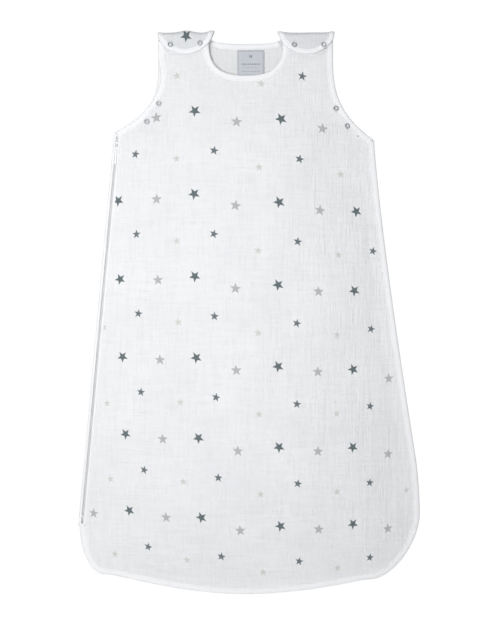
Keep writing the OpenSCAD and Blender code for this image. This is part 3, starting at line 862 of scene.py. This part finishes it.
COIL_PITCH = 1.4
teeth = Parts()
for k in range(int((ZIP_LEN - 6) / COIL_PITCH)):
    for sign in (-1, 1):
        s = 3 + COIL_PITCH * (k + (0.5 if sign > 0 else 0.05))
        head, foot = zip_point(-sign * 0.3, -1.7, s), zip_point(sign * 2.5, -1.35, s + 0.2)
        teeth.add(*capsule((head + foot) / 2, (head - foot) / 2, 0.5, sides=6))
teeth.make("coil_teeth", COIL, "zip_coil", replaces=["zip_teeth"])

for u in (GROOVE + BAND_W * 0.77, -4.78):
    for s in np.arange(2, ZIP_LEN + 8, 3.0):
        a, b = zip_point(u, STRAP_FACE - 0.55, s - 1.05), zip_point(u, STRAP_FACE - 0.55, s + 1.05)
        STITCHES.add(*capsule((a + b) / 2, (b - a) / 2, 0.22))


# =============================== shoulders ===============================
TAB_HALF = TAB_MID - STRAP_INNER
ROUND = RAIL_R + WAD / 2
# Where the middle of each strap's fold sits in the print's lattice, as the cloth was cut
STRAP_PRINT = {"left": (0.526 - 2 / CELL, 0.031), "right": (0.5, 0.27)}


def tab_outline(u):
    """Drop of the tab's edge below the fold at u, from -1 to 1 across it."""
    return TAB_DROP * (1 - u * u) ** 0.75


def strap_lift(side, u):
    """How far the fold puffs up off the rail."""
    if side < 0:
        return 0.4 + 3.2 * np.exp(-(((u - 0.05) / 0.34) ** 2)) + 2.6 * smooth((u - 0.62) / 0.3)
    return 0.3 + 1.3 * smooth((-u - 0.55) / 0.4) + 0.9 * smooth((u - 0.6) / 0.35)


def over_rail(side, x, w, depth):
    """Wraps a flat strap over the rail: w runs up its front and over, depth goes into the cloth."""
    u = (x - side * TAB_MID) / TAB_HALF
    angle = np.clip(w / ROUND, 0, math.pi)
    over = np.sin(angle) ** 2
    soft = 0.45 * value_noise(x, w, 20, 11, 21 + side) * smooth((w + 6) / 12)
    radius = RAIL_R + WAD - depth + strap_lift(side, u) * over + soft * (1 - depth / WAD)
    flare = -side * 4 * smooth((-side * u - 0.5) / 0.5) * over + side * smooth((side * u - 0.6) / 0.4) * over
    fall = np.minimum(w, 0) - np.maximum(w - math.pi * ROUND, 0)
    z = np.where(w < 0, w, radius * np.sin(angle)) + np.where(w > math.pi * ROUND, fall, 0)
    return np.stack([x + flare, -radius * np.cos(angle), z], -1)


def strap_piece(side, name):
    """The strap over the rail and its tab in front, one sheet that bends where the tab starts."""
    u = np.linspace(-1, 1, 73)
    w = mix(-tab_outline(u)[None, :], math.pi * ROUND, np.linspace(0, 1, 27)[:, None])
    x = np.broadcast_to(side * TAB_MID + TAB_HALF * u, w.shape)
    sides = [over_rail(side, x, w, depth + 0 * w).reshape(-1, 3) for depth in (0, WAD)]
    flat = np.concatenate([np.stack([x, w * 0 + d, w], 2).reshape(-1, 3) for d in (0, WAD)])
    start = STRAP_PRINT[name]
    cell = start[0] + (flat[:, 0] - side * TAB_MID) / CELL, start[1] - flat[:, 2] / CELL
    nodes = [f"{name}_{part}" for part in ("shoulder_fold", "tab_outer", "tab_middle", "tab_lining")]
    obj = make(f"{name}_strap_fold", np.concatenate(sides), slab_faces(*w.shape), STRAP_CLOTH,
               "printed_muslin", body=None, replaces=nodes, merge=0.004, cloth=flat, cell=cell)
    bm = bmesh.new()
    bm.from_mesh(obj.data)
    bmesh.ops.recalc_face_normals(bm, faces=bm.faces)
    bm.to_mesh(obj.data)
    bm.free()
    return obj


def strap_tape(side, name):
    """One tape from behind the rail, over it, round the tab and back over."""
    u = np.sin(np.radians(np.linspace(-90, 90, 90)))
    tab = np.stack([side * TAB_MID + TAB_HALF * u, -tab_outline(u)], 1)
    top = math.pi * ROUND
    path = np.concatenate([[[tab[0, 0], top]], tab, [[tab[-1, 0], top]]])

    def lay(c, edge, rise):
        against = smooth((c[:, 1] + 7) / 5)
        depth = mix(0, WAD, edge) + np.where(edge > 0.5, rise * (1 - against), -rise)
        return over_rail(side, c[:, 0], c[:, 1], depth)

    return binding(f"{name}_tab_tape", path, lay, [f"{name}_tab_binding"], body=None, width=7,
                   seed=8 + side, step=1.5)


straps = []
for side, name in ((-1, "left"), (1, "right")):
    straps.append(strap_piece(side, name))
    for piece in (straps[-1], strap_tape(side, name)):
        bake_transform(piece)

STITCHES.make("seam_stitches", THREAD, "binding_tape")


# =============================== snaps and label ===============================
CAP_RISE = [(2.35, 0.05), (2.3, 0.35), (2.45, 0.75), (2.8, 0.98), (3.3, 1.05), (3.75, 0.92), (4.05, 0.6),
            (4.12, 0.2), (4.0, -0.95), (3.6, -1.0), (2.9, -1.0), (2.4, -0.95)]


def snap_caps(name, places, face, body, replaces):
    rings = Parts()
    for x, z in places:
        rings.add(*lathe((x, face, z), CAP_RISE, sign=-1))
    return rings.make(name, SNAP, "snap_metal", body=body, replaces=replaces)


for name, places in SHOULDER_SNAPS.items():
    snap_caps(f"{name}_tab_snaps", places, -RAIL_R - WAD - 1.25, f"{name}_tab", [f"{name}_shoulder_caps"])
snap_caps("underarm_snaps", UNDERARM_SNAPS, STRAP_FACE - 1.55, "bag", ["underarm_caps"])


def neck_label():
    """A thin label that hangs from the back neck tape and curls a little at its free end."""
    x, z = np.meshgrid(np.linspace(*LABEL_X, 24), np.linspace(*LABEL_Z, 24))
    down = (LABEL_Z[0] - z) / (LABEL_Z[0] - LABEL_Z[1])
    y = RAIL_R - 1.05 - 0.9 * down**2 - 0.5 * down * np.abs(np.sin((x - 3) / 21)) * smooth(down)
    verts = np.concatenate([np.stack([x, y + t, z], 2).reshape(-1, 3) for t in (0, 0.35)])
    return make("neck_label_cloth", verts, slab_faces(24, 24), LABEL, "label", replaces=["neck_label"])


neck_label()

# CAD pieces that are shown as they are take the finished materials.
for node, material in {
    "left_shoulder_sockets": SNAP, "right_shoulder_sockets": SNAP, "shoulder_studs": SNAP,
    "shoulder_stud_backs": SNAP, "underarm_sockets": SNAP, "underarm_studs": SNAP,
    "underarm_stud_backs": SNAP, "zip_top_stop": ENAMEL, "zip_bottom_stop": ENAMEL,
    "zip_slider": ENAMEL, "zip_pull": ENAMEL,
}.items():
    mesh = bpy.data.objects[node].data
    mesh.materials.clear()
    mesh.materials.append(material)
    add_cloth_coordinates(mesh)


# =============================== stage ===============================
def stage_mesh(name, build, material):
    mesh = bpy.data.meshes.new(name)
    bm = bmesh.new()
    build(bm)
    bm.to_mesh(mesh)
    bm.free()
    mesh.materials.append(material)
    obj = bpy.data.objects.new(name, mesh)
    bpy.context.scene.collection.objects.link(obj)
    obj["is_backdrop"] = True
    return obj


def plain(name, colour, rough=0.9):
    sh = Shader(name)
    sh.set("Base Color", colour)
    sh.set("Roughness", rough)
    return sh.material


def glowing(name, strength):
    sh = Shader(name)
    sh.set("Base Color", rgb(0, 0, 0))
    sh.set("Emission Color", rgb(1, 1, 1))
    sh.set("Emission Strength", strength)
    return sh.material


FLOOR_Z = -1.2
floor = stage_mesh("floor", lambda bm: bmesh.ops.create_circle(bm, cap_ends=True, segments=96, radius=1.15),
                   plain("pale_floor", rgb(0.88, 0.88, 0.88)))
floor.location = (0, 0, FLOOR_Z)
dome = stage_mesh("dome", lambda bm: bmesh.ops.create_icosphere(bm, subdivisions=4, radius=20),
                  glowing("studio_white", 1.0))
for ray in ("diffuse", "glossy", "transmission", "volume_scatter", "shadow"):
    setattr(dome, f"visible_{ray}", False)

world = bpy.data.worlds.new("studio")
world.use_nodes = True
world.node_tree.nodes["Background"].inputs["Color"].default_value = rgb(0.97, 0.985, 1.0)
world.node_tree.nodes["Background"].inputs["Strength"].default_value = 0.25
bpy.context.scene.world = world


def area_light(name, place, target, size, power, colour=(1, 1, 1)):
    data = bpy.data.lights.new(name, "AREA")
    data.shape, data.size, data.energy, data.color = "DISK", size, power, colour
    obj = bpy.data.objects.new(name, data)
    bpy.context.scene.collection.objects.link(obj)
    obj.location = place
    obj.visible_camera = False
    aim(obj, target)
    return obj


def aim(obj, target):
    obj.rotation_euler = (Vector(target) - Vector(obj.location)).to_track_quat("-Z", "Y").to_euler()


MIDDLE = (0.0, 0.0, -0.44)
area_light("key", (-0.32, -1.25, -0.30), (-0.05, 0.0, -0.42), 0.7, 12.6)
area_light("top", (-0.2, -1.1, 1.5), MIDDLE, 0.8, 7)
area_light("fill", (2.0, -2.0, -0.4), MIDDLE, 1.8, 2)
area_light("back", (0.2, 2.5, -0.2), MIDDLE, 1.6, 42)

LENS, SENSOR, TALL = 90.0, 36.0, 0.9906
data = bpy.data.cameras.new("camera")
data.lens, data.sensor_width, data.clip_end = LENS, SENSOR, 60
camera = bpy.data.objects.new("camera", data)
bpy.context.scene.collection.objects.link(camera)
camera.location = (0.0063, -TALL * LENS / SENSOR - 0.012, -0.4375)
camera.rotation_euler = (math.pi / 2, 0, 0)
bpy.context.scene.camera = camera
bpy.context.scene.view_settings.view_transform = "Standard"

corners = lambda box: [[float(c) for c in corner] for corner in box]
{"cad": corners(CAD_BOX), "visual": corners(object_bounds())}
